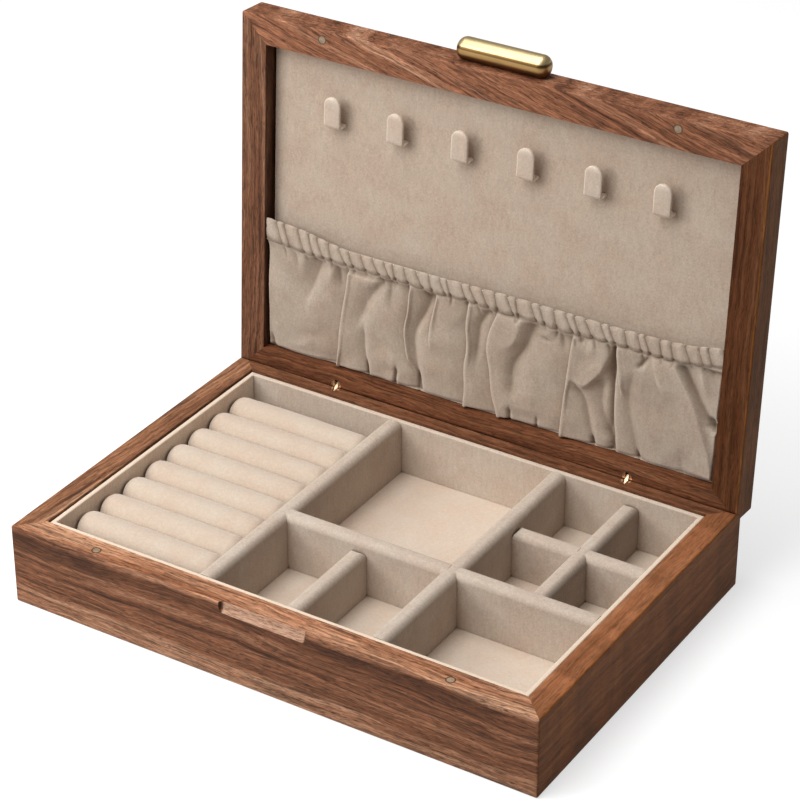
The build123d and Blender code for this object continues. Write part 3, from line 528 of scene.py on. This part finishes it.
def hook(index):
    """One hook, from its round top down the blade and back along its foot."""
    x_middle = (index - (HOOKS - 1) / 2) * HOOK_PITCH
    half_width = HOOK_WIDTH / 2
    middle = HOOK_BACK - HOOK_THICK / 2
    # Rows of the strip: place down the lid, depth, turn of its face, half its width, share of its thickness
    path = []
    for k in range(11):
        turn = math.pi / 2 * k / 10
        drop = half_width * (1 - math.cos(turn))
        path.append((HOOK_TOP + drop, middle, 0.0, max(0.12, half_width * math.sin(turn)), min(1.0, 0.6 + k * 0.1)))
    knee = HOOK_TOP + HOOK_HEIGHT - HOOK_BEND - HOOK_THICK / 2 + 0.3
    for k in range(1, 6):
        path.append((HOOK_TOP + half_width + (knee - HOOK_TOP - half_width) * k / 5, middle, 0.0, half_width, 1.0))
    for k in range(1, 8):
        turn = math.pi / 2 * k / 7
        drop, reach = HOOK_BEND * math.sin(turn) * 0.8, HOOK_BEND * (1 - math.cos(turn))
        path.append((knee + drop, middle + reach, turn, half_width, 1.0))
    path.append((path[-1][0], LINING_DEPTH, math.pi / 2, half_width, 1.0))
    verts, painted_shading = [], []
    for row, (y, depth, turn, half, share) in enumerate(path):
        for k in range(HOOK_COLUMNS):
            angle = 2 * math.pi * k / HOOK_COLUMNS
            flat = math.copysign(abs(math.cos(angle)) ** 0.26, math.cos(angle))
            v = math.copysign(abs(math.sin(angle)) ** 0.6, math.sin(angle)) * HOOK_THICK / 2 * share
            verts.append(lid_point(x_middle + flat * half, y - v * math.sin(turn), depth + v * math.cos(turn)))
            # Painted highlight on the blade's side edges and round top, and painted light on the foot, which lies in
            # the blade's shadow
            rim = float(smooth_step(0.80, 0.95, -flat)) + 0.5 * float(smooth_step(0.86, 0.97, flat))
            crown = float(1 - smooth_step(3, 9, row))
            foot = float(smooth_step(1.6, 3.2, depth))
            painted_shading.append(0.88 + 0.30 * max(rim, crown) * (1 - foot) + 0.75 * foot)
    obj = make_object(f"suede_hook_{index + 1}", verts, capped(len(path), HOOK_COLUMNS), hook_suede)
    set_painted_shading(obj, painted_shading)
    face_outwards(obj)
    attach(obj, "lid")
    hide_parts(f"hook_{index + 1}")


for hook_index in range(HOOKS):
    hook(hook_index)


# Handle: a turned bar with smoothly domed ends, flat where it meets the lid's front rail
LID_FRONT, HANDLE_REACH, HANDLE_DEPTH = -95.25, 5.25, 8.5
HANDLE_RADIUS, HANDLE_HALF, HANDLE_DOME, HANDLE_COLUMNS = 5.6, 24.0, 4.3, 96


def handle():
    """The bar as a revolved profile."""
    profile = [(-HANDLE_HALF, 0.05), (-HANDLE_HALF, (HANDLE_RADIUS - HANDLE_DOME) * 0.6)]
    for k in range(14, -1, -1):
        turn = math.pi / 2 * k / 14
        inset, fall = HANDLE_DOME * (1 - math.sin(turn)), HANDLE_DOME * (1 - math.cos(turn))
        profile.append((-HANDLE_HALF + inset, HANDLE_RADIUS - fall))
    profile += [(-x, r) for x, r in reversed(profile)]
    verts = []
    for x, r in profile:
        for k in range(HANDLE_COLUMNS):
            turn = 2 * math.pi * k / HANDLE_COLUMNS
            y = min(LID_FRONT - HANDLE_REACH + r * math.cos(turn), LID_FRONT)
            verts.append(lid_point(x, y, HANDLE_DEPTH + r * math.sin(turn)))
    obj = make_object("brass_handle", verts, capped(len(profile), HANDLE_COLUMNS), brass)
    face_outwards(obj)
    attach(obj, "lid")
    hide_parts("handle_bar")


handle()


# Elastic pocket: one sheet of cloth with a ruffled casing over gathered folds
POCKET_HALF, POCKET_FOOT = 125.5, 80.7
# The elastic band lies between these heights, and the casing's front cloth stays in front of it
ELASTIC_TOP, ELASTIC_FOOT, ELASTIC_FRONT = 15.0, 21.5, 1.48
# Depths behind the lid's rim: the casing's back, the plane from which the folds rise, and their deepest
CASING_BACK, CLOTH_BACK, CLOTH_DEEPEST = 2.35, 6.3, 6.8
RUFFLES, CASING_ROWS = 40, 24
CASING_TOP_LINE = [(-125.5, 9.4), (-117, 9.8), (-105, 10.6), (-90, 13.2), (-78, 14.8), (-55, 14.95), (-28, 14.8),
                   (-13, 14.3), (6, 13.9), (22, 13.8), (43, 13.9), (66, 14.1), (96, 13.5), (110, 12.3), (119, 10.4),
                   (125.5, 9.4)]
CASING_FOOT_LINE = [(-125.5, 20.2), (-104, 22.6), (-80, 22.9), (-44, 23.0), (-28, 23.6), (-9.6, 22.4), (6, 23.8),
                    (21, 23.0), (41, 24.0), (68, 22.7), (87, 22.9), (100, 22.6), (115, 20.8), (125.5, 18.5)]

# Leading edges of the panels: points down the cloth, height of the step, width of the slope
# behind it, and how far from the top and the foot it fades
EDGES = [
    ([(-77.2, 26.0), (-77.6, 29.4), (-80.1, 49.4), (-83.9, 80.7)], 2.6, 17.0, 2.0, 1.0),
    ([(-42.5, 24.0), (-44.6, 52.2), (-42.8, 64.6), (-36.8, 72.0)], 2.5, 11.0, 1.0, 10.0),
    ([(-26.9, 25.0), (-30.8, 47.2), (-29.6, 56.0)], 2.2, 15.0, 1.0, 12.0),
    ([(-9.3, 23.5), (-9.3, 48.9), (-9.4, 80.7)], 2.5, 9.0, 1.0, 1.0),
    ([(7.1, 25.0), (2.6, 36.0), (1.9, 42.0), (5.0, 64.0), (10.0, 80.7)], 2.5, 15.0, 1.0, 1.0),
    ([(48.2, 25.5), (45.7, 48.5), (43.6, 80.7)], 2.5, 7.0, 1.0, 1.0),
    ([(71.0, 24.0), (72.6, 36.4), (74.6, 52.0)], 2.5, 15.0, 1.0, 14.0),
    ([(-125.0, 18.0), (-125.0, 80.7)], 1.0, 20.0, 1.0, 1.0),
]
# Soft ridges: points, height, width to the left and to the right, fades
RIDGES = [
    ([(-103.4, 20.0), (-105.5, 40.0)], 1.6, 4.5, 3.0, 1.0, 14.0),
    ([(-60.0, 24.0), (-66.0, 34.0)], 1.4, 5.0, 4.0, 1.0, 7.0),
    ([(-88.0, 24.0), (-89.0, 40.0)], 1.0, 3.0, 2.5, 1.0, 9.0),
    ([(-112.0, 22.0), (-119.0, 62.0)], 0.9, 6.0, 7.0, 1.0, 20.0),
    ([(-52.0, 60.0), (-50.5, 74.0)], 0.9, 4.0, 3.0, 8.0, 5.0),
    ([(20.0, 24.5), (13.0, 45.0)], 1.5, 6.0, 3.0, 1.0, 9.0),
    ([(68.1, 23.7), (66.0, 34.5), (58.0, 47.0), (50.0, 54.0)], 2.0, 7.0, 2.6, 1.0, 6.0),
    ([(89.8, 23.5), (94.9, 37.8), (99.5, 46.0)], 1.2, 2.0, 6.0, 1.0, 9.0),
    ([(97.5, 20.5), (108.8, 37.7), (122.6, 70.8), (124.5, 80.0)], 2.2, 9.0, 2.2, 1.0, 3.0),
    ([(113.0, 21.0), (119.0, 38.0)], 1.2, 2.5, 2.0, 1.0, 9.0),
    ([(58.0, 24.0), (57.0, 36.0)], 1.1, 3.0, 3.0, 1.0, 7.0),
    ([(35.0, 25.0), (33.0, 32.0)], 1.0, 4.0, 3.0, 1.0, 4.0),
    ([(-12.0, 24.0), (-16.0, 40.0)], 0.8, 4.0, 3.0, 1.0, 9.0),
    ([(-95.0, 66.0), (-108.0, 78.0)], 0.7, 5.0, 7.0, 6.0, 4.0),
    ([(28.0, 55.0), (24.0, 76.0)], 0.7, 9.0, 8.0, 10.0, 5.0),
]
# Valleys and creases: points, depth, width to the left and to the right, fades
VALLEYS = [
    ([(-93.7, 22.9), (-99.3, 38.8), (-103.4, 54.0)], 1.7, 4.5, 2.2, 1.0, 18.0),
    ([(-85.1, 24.0), (-82.7, 40.0)], 1.2, 2.5, 1.5, 1.0, 9.0),
    ([(-54.6, 24.0), (-65.8, 36.4), (-74.5, 60.0)], 1.9, 5.0, 3.4, 1.0, 14.0),
    ([(-54.6, 24.0), (-53.5, 44.0)], 1.5, 2.0, 3.0, 1.0, 14.0),
    ([(-68.5, 50.0), (-68.1, 66.0), (-65.8, 80.7)], 1.5, 3.5, 1.3, 9.0, 1.0),
    ([(-30.5, 24.0), (-34.0, 36.2), (-40.5, 49.9), (-37.4, 66.9), (-36.3, 80.7)], 2.3, 4.2, 2.4, 1.0, 1.0),
    ([(3.2, 24.5), (-3.5, 32.5), (-5.0, 62.0)], 2.1, 3.4, 2.6, 1.0, 16.0),
    ([(-123.4, 72.0), (-122.0, 80.7)], 1.3, 0.9, 1.2, 5.0, 0.5),
    ([(-48.9, 69.0), (-50.2, 80.7)], 1.6, 0.8, 0.8, 6.0, 0.5),
    ([(-66.6, 70.0), (-65.8, 80.7)], 1.4, 0.7, 0.7, 6.0, 0.5),
    ([(-36.9, 68.0), (-36.3, 80.7)], 1.5, 0.8, 0.8, 6.0, 0.5),
    ([(69.4, 24.0), (69.4, 47.5), (70.2, 65.7), (72.2, 80.7)], 3.0, 2.2, 0.9, 1.0, 0.5),
    ([(26.5, 24.4), (22.7, 38.9), (14.9, 51.4), (15.8, 70.0)], 1.9, 3.0, 4.2, 1.0, 9.0),
    ([(29.5, 31.0), (36.5, 34.0)], 1.1, 3.0, 2.0, 2.0, 2.0),
    ([(54.9, 23.5), (51.0, 28.6)], 1.5, 1.6, 1.2, 1.0, 3.0),
    ([(47.3, 48.0), (54.9, 55.9), (61.8, 80.7)], 1.2, 2.4, 1.8, 3.0, 1.0),
    ([(64.5, 40.9), (63.4, 57.5), (70.8, 76.0)], 1.8, 3.8, 3.0, 8.0, 6.0),
    ([(88.6, 24.7), (80.9, 33.5)], 1.5, 1.4, 1.4, 1.0, 3.0),
    ([(80.3, 34.0), (77.4, 53.2), (85.4, 80.7)], 1.3, 3.4, 3.8, 8.0, 1.0),
    ([(103.4, 22.7), (119.0, 46.6), (124.3, 53.3)], 1.7, 2.4, 3.0, 1.0, 2.0),
    ([(15.7, 72.0), (15.4, 80.7)], 1.3, 0.8, 0.8, 4.0, 0.5),
    ([(30.1, 74.0), (29.7, 80.7)], 1.0, 0.7, 0.7, 3.0, 0.5),
    ([(60.0, 74.0), (61.3, 80.7)], 1.2, 0.8, 0.8, 4.0, 0.5),
    ([(83.3, 75.0), (86.1, 80.7)], 1.2, 0.8, 0.8, 4.0, 0.5),
    ([(121.0, 46.0), (124.8, 55.0)], 1.8, 1.6, 1.4, 3.0, 2.0),
    ([(-110.0, 22.5), (-107.0, 33.0)], 0.8, 1.4, 1.2, 1.0, 6.0),
    ([(41.0, 25.0), (42.5, 38.0)], 1.0, 1.4, 1.4, 1.0, 8.0),
    ([(106.0, 66.0), (109.0, 80.7)], 0.7, 3.0, 3.0, 9.0, 1.0),
]


def along(points, y):
    """Where a line of points down the cloth lies at each height, in millimetres."""
    heights, places = [point[1] for point in points], [point[0] for point in points]
    return sum(np.interp(y + shift, heights, places) for shift in (-5.0, -3.0, -1.0, 1.0, 3.0, 5.0)) / 6


def fade(points, y, start, end):
    """Fades a fold in over its start and out over its end."""
    low, high = points[0][1], points[-1][1]
    return smooth_step(low - 0.5, low + start, y) * (1 - smooth_step(high - end, high + 0.3, y))


def bump_profile(distance, left, right, power=1.6):
    """Cross-section of a ridge or valley, with its own width on each side."""
    width = np.where(distance < 0, left, right)
    return np.exp(-np.abs(distance / width) ** power)


def puff_layout():
    """Grooves between the casing's ruffles, with a slant, a strength and a reach into the cloth for each."""
    chance = np.random.default_rng(41)
    count = RUFFLES + 1
    grooves = np.linspace(-POCKET_HALF, POCKET_HALF, count) + chance.uniform(-1.4, 1.4, count)
    grooves[0], grooves[-1] = -POCKET_HALF - 1.0, POCKET_HALF + 1.0
    return grooves, chance.uniform(1.4, 4.2, count), chance.uniform(0.55, 1.0, count), chance.uniform(3.0, 9.0, count)


def blurred(field, sigma_rows, sigma_columns):
    """Gaussian blur of a grid, with its borders repeated."""
    for axis, sigma in ((0, sigma_rows), (1, sigma_columns)):
        reach = int(3 * sigma) + 1
        weights = np.exp(-0.5 * (np.arange(-reach, reach + 1) / sigma) ** 2)
        weights /= weights.sum()
        padding = [(0, 0), (0, 0)]
        padding[axis] = (reach, reach)
        padded = np.pad(field, padding, mode="edge")
        field = np.apply_along_axis(lambda line: np.convolve(line, weights, mode="valid"), axis, padded)
    return field


GROOVES, SLANTS, STRENGTHS, REACHES = puff_layout()


def puffs(x, share):
    """Bulge of the ruffles from 0 in a groove to 1 on a crest, at a share of the casing's height."""
    places = GROOVES + SLANTS * share - 1.2
    order = np.clip(np.searchsorted(places, x) - 1, 0, len(places) - 2)
    span = np.clip((x - places[order]) / (places[order + 1] - places[order]), 0, 1)
    dome = np.sqrt(np.maximum(0, 1 - np.abs(2 * span ** 1.15 - 1) ** 2.0))
    pleat = 0.12 * np.abs(waves(x * 0.42 - share * 0.9, share * 0.8, 12))
    pleat = pleat + 0.08 * np.abs(waves(x * 1.1, share * 2.2, 13))
    return dome * (0.76 + 0.24 * STRENGTHS[order]) * (1 - pleat)


def cloth_height(x, y, share):
    """How far the cloth stands out from its back plane, in millimetres, for whole arrays."""
    height = 2.3 + 0.85 * waves(x * 0.045, y * 0.05, 5) + 0.34 * waves(x * 0.13, y * 0.11, 6)
    height = height + 1.0 * np.sin(np.pi * np.clip(share, 0, 1)) ** 0.8
    for points, step, slope, start, end in EDGES:
        distance = x - along(points, y) - 0.5 * waves(y * 0.09, points[0][0], 7)
        behind = np.exp(-(np.maximum(distance, 0) / slope) ** 1.1)
        front = 1 / (1 + np.exp(np.clip(-(distance + 0.35) / 0.24, -80, 80)))
        lip = 0.35 * np.exp(-((distance - 0.7) / 0.9) ** 2)
        dip = 1.2 * np.exp(-(np.minimum(distance + 0.5, 0) / 6.0) ** 2) * (distance < -0.3)
        height = height + (1.15 * step * front * (behind * 0.8 + lip) - dip) * fade(points, y, start, end)
    for points, rise, left, right, start, end in RIDGES:
        distance = x - along(points, y)
        height = height + 1.1 * rise * bump_profile(distance, left * 1.1, right * 1.1) * fade(points, y, start, end)
    for points, drop, left, right, start, end in VALLEYS:
        distance = x - along(points, y)
        hollow = bump_profile(distance, left * 1.1, right * 1.1, 1.5)
        height = height - 1.15 * drop * hollow * fade(points, y, start, end)
    return height


def casing(x, top_line, foot_line):
    """Rows of the casing's back, top edge and front, as heights and depths, and the painted shade of their points."""
    rows, painted_shading = [], []
    bulge = puffs(x, 0.0)
    for step in range(5):
        share = 1 - step / 4
        rows.append((top_line + 1.6 + (foot_line - top_line - 2.5) * share, CASING_BACK + 0.4 * share - 0.2 * bulge))
        painted_shading.append(np.full(len(x), 0.7))
    for step in range(1, 7):
        turn = math.pi * step / 7
        y = np.minimum(top_line + 2.0 - (0.9 + 1.15 * bulge) * math.sin(turn), 16.0 - math.sin(turn))
        front = 2.0 - 1.55 * bulge
        rows.append((y, CASING_BACK - 0.2 * bulge + (front - CASING_BACK + 0.2 * bulge) * (1 - math.cos(turn)) / 2))
        # Painted shade in the grooves between the ruffles along the top edge, lighter on their crests
        painted_shading.append(0.45 + 0.72 * bulge ** 0.8)
    for step in range(CASING_ROWS):
        share = step / (CASING_ROWS - 1)
        bulge = puffs(x, share)
        y = top_line + 2.0 + (foot_line - top_line - 2.0 + 0.7 * bulge) * share
        groove = 2.0 - 0.55 * smooth_step(14.4, 15.3, y) + 1.2 * smooth_step(21.3, 22.6, y)
        crest = 0.42 + 0.25 * share + 0.55 * smooth_step(0.8, 1.0, share)
        depth = groove + (crest - groove) * bulge + 0.06 * waves(x * 0.9, share * 2.5, 9)
        over_band = (y > ELASTIC_TOP) & (y < ELASTIC_FOOT)
        rows.append((y, np.where(over_band, np.minimum(depth, ELASTIC_FRONT), depth)))
        # Painted shade in the grooves and towards the casing's foot
        painted_foot_shade = 1.04 - 0.36 * smooth_step(0.68, 1.0, share) - 0.05 * share
        painted_shading.append((0.40 + 0.80 * bulge ** 0.8) * painted_foot_shade)
    return rows, painted_shading


def gathered(x, start):
    """Rows of the cloth from the casing's foot, at start, down to the pocket's foot, and their painted shade."""
    count = 130
    rows, painted_crease_shade = [], []
    for step in range(1, count):
        share = (step / (count - 1)) ** 1.1
        y = start + (POCKET_FOOT - start) * share
        drop = y - start
        gather = np.zeros(len(x))
        for place, slant, strength, reach in zip(GROOVES, SLANTS, STRENGTHS, REACHES):
            distance = x - (place + slant - 1.2) - drop * (slant - 2.4) * 0.2
            gather = gather + strength * np.exp(-np.abs(distance / 0.9) ** 1.6) * (1 - smooth_step(0.3, reach, drop))
        depth = CLOTH_BACK - (cloth_height(x, y, share) - 1.4 * gather)
        # Joined to the casing by a seam, drawn in at the foot and held back at the side rails
        join = np.exp(-(drop / 2.4) ** 2)
        seam = 2.75 - 0.9 * np.exp(-((drop - 2.0) / 1.8) ** 2)
        depth = depth * (1 - join) + seam * join
        depth = depth + 0.9 * smooth_step(0.965, 1.0, share)
        edge = 1 - smooth_step(0.0, 1.5, POCKET_HALF - np.abs(x))
        depth = depth + (6.6 - depth) * edge * 0.9 * smooth_step(2.0, 8.0, drop)
        # No fold stands out past the rim, reaches into the elastic or sinks into the lining
        depth = np.where(depth < 1.0, 0.55 + 0.45 * np.exp(depth - 1.0), depth)
        depth = np.minimum(depth, ELASTIC_FRONT - 0.02 + 1.3 * np.maximum(0.0, y - ELASTIC_FOOT))
        rows.append((y, np.minimum(depth, CLOTH_DEEPEST)))
        # Painted shade in the crease below the casing's seam and along the gathers
        painted_crease_shade.append(1 - 0.42 * np.exp(-(drop / 0.9) ** 2) - 0.10 * np.clip(gather, 0, 1))
    # Painted shade: hollows and the slopes that look away from the light are painted a little darker, ridges and
    # slopes towards it a little lighter
    field, pitch = np.array([-depth for _, depth in rows]), 2 * POCKET_HALF / (len(x) - 1)
    row_pitch = (POCKET_FOOT - 23.5) / (count - 1)
    hollow = field - blurred(field, 3.2 / row_pitch, 3.2 / pitch)
    fine = field - blurred(field, 1.1 / row_pitch, 1.1 / pitch)
    lean = blurred(np.gradient(field, pitch, axis=1), 0.4 / row_pitch, 0.4 / pitch)
    shade = 1 + np.clip(0.13 * hollow, -0.22, 0.08) + np.clip(0.36 * fine, -0.26, 0.12)
    shade = shade + np.clip(0.12 * lean, -0.20, 0.12)
    return rows, list(np.clip(shade, 0.4, 1.25) * np.array(painted_crease_shade))


def pocket():
    """The cloth as one sheet, from the casing's back over its top edge and down to the pocket's foot."""
    x = np.linspace(-POCKET_HALF, POCKET_HALF, 860)
    top_line, foot_line = (np.interp(x, *zip(*line)) for line in (CASING_TOP_LINE, CASING_FOOT_LINE))
    rows, painted_shading = casing(x, top_line, foot_line)
    body_rows, body_painted_shading = gathered(x, foot_line + 0.7 * puffs(x, 1.0))
    verts = []
    for y, depth in rows + body_rows:
        place = np.array(LID_ORIGIN)[None, :] + np.outer(y, np.array(LID_DOWN))
        place = place + np.outer(depth, np.array(LID_IN))
        place[:, 0] += x
        verts.extend((place * MM).tolist())
    faces = grid_faces(len(rows + body_rows), len(x))
    obj = make_object("pocket_cloth", verts, faces, pocket_suede)
    set_painted_shading(obj, np.concatenate(painted_shading + body_painted_shading))
    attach(obj, "lid")
    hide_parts("elastic_pocket")


pocket()


# ---------------------------------------------------------------- stage and light
def floor():
    """Plain paint that takes the object's shadow and looks white to the camera."""
    t = Tree("floor_paint")
    paths = t.add("LightPath")
    seen = t.math("MAXIMUM", paths.outputs["Is Camera Ray"],
                  t.math("MAXIMUM", paths.outputs["Is Glossy Ray"], paths.outputs["Is Transmission Ray"]))
    plain = t.add("BsdfDiffuse", None, Color=(0.45, 0.45, 0.45, 1.0))
    lit = t.add("BsdfDiffuse", None, Color=(0.50, 0.50, 0.50, 1.0))
    white = t.add("Emission", None, Color=(1.0, 1.0, 1.0, 1.0), Strength=0.62)
    bright = t.add("AddShader", None, i0=lit.outputs[0], i1=white.outputs[0])
    mixed = t.add("MixShader", None, i0=seen, i1=plain.outputs[0], i2=bright.outputs[0])
    t.links.new(mixed.outputs[0], t.output.inputs[0])
    obj = make_object("floor", [(-6, -6, -0.0002), (6, -6, -0.0002), (6, 6, -0.0002), (-6, 6, -0.0002)],
                      [(0, 1, 2, 3)], t.material, False)


floor()

# A dim white sky lights the object, and the camera sees a bright white one behind it
SKY_STRENGTH, BACKDROP_STRENGTH = 0.205, 1.0
world = bpy.data.worlds.new("studio")
bpy.context.scene.world = world
world.use_nodes = True
world_nodes, world_links = world.node_tree.nodes, world.node_tree.links
world_nodes.clear()
light_path = world_nodes.new("ShaderNodeLightPath")
soft, clear = world_nodes.new("ShaderNodeBackground"), world_nodes.new("ShaderNodeBackground")
for background, strength in ((soft, SKY_STRENGTH), (clear, BACKDROP_STRENGTH)):
    background.inputs[0].default_value = (1.0, 1.0, 1.0, 1.0)
    background.inputs[1].default_value = strength
choice = world_nodes.new("ShaderNodeMixShader")
world_out = world_nodes.new("ShaderNodeOutputWorld")
either = world_nodes.new("ShaderNodeMath")
either.operation = "MAXIMUM"
world_links.new(light_path.outputs["Is Camera Ray"], either.inputs[0])
world_links.new(light_path.outputs["Is Transmission Ray"], either.inputs[1])
world_links.new(either.outputs[0], choice.inputs[0])
world_links.new(soft.outputs[0], choice.inputs[1])
world_links.new(clear.outputs[0], choice.inputs[2])
world_links.new(choice.outputs[0], world_out.inputs[0])


def lamp(name, place, target, size, power):
    """A round soft light at a place, aimed at a target."""
    data = bpy.data.lights.new(name, "AREA")
    data.shape = "DISK"
    data.size = size
    data.energy = power
    obj = bpy.data.objects.new(name, data)
    bpy.context.scene.collection.objects.link(obj)
    obj.location = place
    obj.rotation_euler = (Vector(target) - Vector(place)).to_track_quat("-Z", "Y").to_euler()


lamp("key", (-0.34, -1.08, 1.78), (0, 0.02, 0.08), 1.0, 17.6)
lamp("left", (-0.52, -0.53, 0.53), (-0.02, 0.04, 0.12), 0.5, 4.5)
lamp("overhead", (-0.30, -0.02, 1.8), (0, 0.0, 0.05), 1.2, 14.0)

bpy.context.scene.view_settings.view_transform = "Standard"
